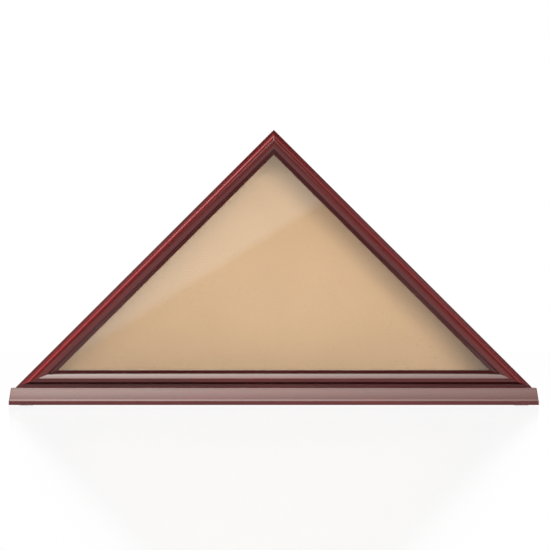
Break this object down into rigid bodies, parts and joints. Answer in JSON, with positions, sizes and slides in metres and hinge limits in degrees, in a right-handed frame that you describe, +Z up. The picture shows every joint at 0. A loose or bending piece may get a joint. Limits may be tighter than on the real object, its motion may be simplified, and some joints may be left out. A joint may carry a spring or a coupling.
{
  "type": "folded flag display case",
  "caption": "Triangular glass-fronted display case for a folded flag, with a mitred moulded frame, deep boards, a moulded plinth and a loose back panel held by turn buttons.",
  "frame": {"origin": "on the surface that the case stands on, under the middle of its outside box", "axes": "+X along the long side, to the viewer's right; -Y out of the glass, towards the viewer; +Z up"},
  "size_m": [0.662, 0.1004, 0.3465],
  "materials": {
    "lacquered_moulding": "deep cherry-mahogany stain under clear gloss lacquer",
    "lacquered_board": "deep cherry-mahogany stain under clear gloss lacquer",
    "lacquered_plinth": "deep cherry-mahogany stain under clear gloss lacquer",
    "glass": "clear float glass",
    "bare_wood": "unfinished softwood",
    "hardboard": "smooth pale fibreboard with fine specks",
    "zinc_plate": "zinc-plated steel",
    "zinc_screw": "zinc-plated steel",
    "nail_steel": "bright steel",
    "felt": "pressed pale felt"
  },
  "bodies": {
    "case": {"corner_brads": "nail_steel", "felt_pads": "felt", "front_rail_bottom": "lacquered_moulding", "front_rail_left": "lacquered_moulding", "front_rail_right": "lacquered_moulding", "glass_pane": "glass", "glass_stop_bottom": "bare_wood", "glass_stop_left": "bare_wood", "glass_stop_right": "bare_wood", "plinth": "lacquered_plinth", "plinth_screws": "zinc_screw", "stop_brads": "nail_steel", "turn_button_screws": "zinc_screw", "v_nails": "nail_steel", "wall_bottom": "lacquered_board", "wall_left": "lacquered_board", "wall_right": "lacquered_board"},
    "back_panel": {"back_panel": "hardboard"},
    "turn_button_left_lower": {"turn_button_left_lower": "zinc_plate"},
    "turn_button_left_upper": {"turn_button_left_upper": "zinc_plate"},
    "turn_button_right_upper": {"turn_button_right_upper": "zinc_plate"},
    "turn_button_right_lower": {"turn_button_right_lower": "zinc_plate"},
    "turn_button_bottom_left": {"turn_button_bottom_left": "zinc_plate"},
    "turn_button_bottom_right": {"turn_button_bottom_right": "zinc_plate"}
  },
  "joints": [
    {"name": "back_panel_lift_out", "type": "slide", "parent": "case", "child": "back_panel", "axis": [0, 1, 0], "range_m": [0, 0.15]},
    {"name": "turn_button_left_lower_turn", "type": "hinge", "parent": "case", "child": "turn_button_left_lower", "pos_m": [-0.21528, 0.0477, 0.12591], "axis": [0, -1, 0], "continuous": true},
    {"name": "turn_button_left_upper_turn", "type": "hinge", "parent": "case", "child": "turn_button_left_upper", "pos_m": [-0.0822, 0.0477, 0.259], "axis": [0, -1, 0], "continuous": true},
    {"name": "turn_button_right_upper_turn", "type": "hinge", "parent": "case", "child": "turn_button_right_upper", "pos_m": [0.0822, 0.0477, 0.259], "axis": [0, 1, 0], "continuous": true},
    {"name": "turn_button_right_lower_turn", "type": "hinge", "parent": "case", "child": "turn_button_right_lower", "pos_m": [0.21528, 0.0477, 0.12591], "axis": [0, 1, 0], "continuous": true},
    {"name": "turn_button_bottom_left_turn", "type": "hinge", "parent": "case", "child": "turn_button_bottom_left", "pos_m": [-0.15, 0.0477, 0.02625], "axis": [0, -1, 0], "continuous": true},
    {"name": "turn_button_bottom_right_turn", "type": "hinge", "parent": "case", "child": "turn_button_bottom_right", "pos_m": [0.15, 0.0477, 0.02625], "axis": [0, 1, 0], "continuous": true}
  ]
}
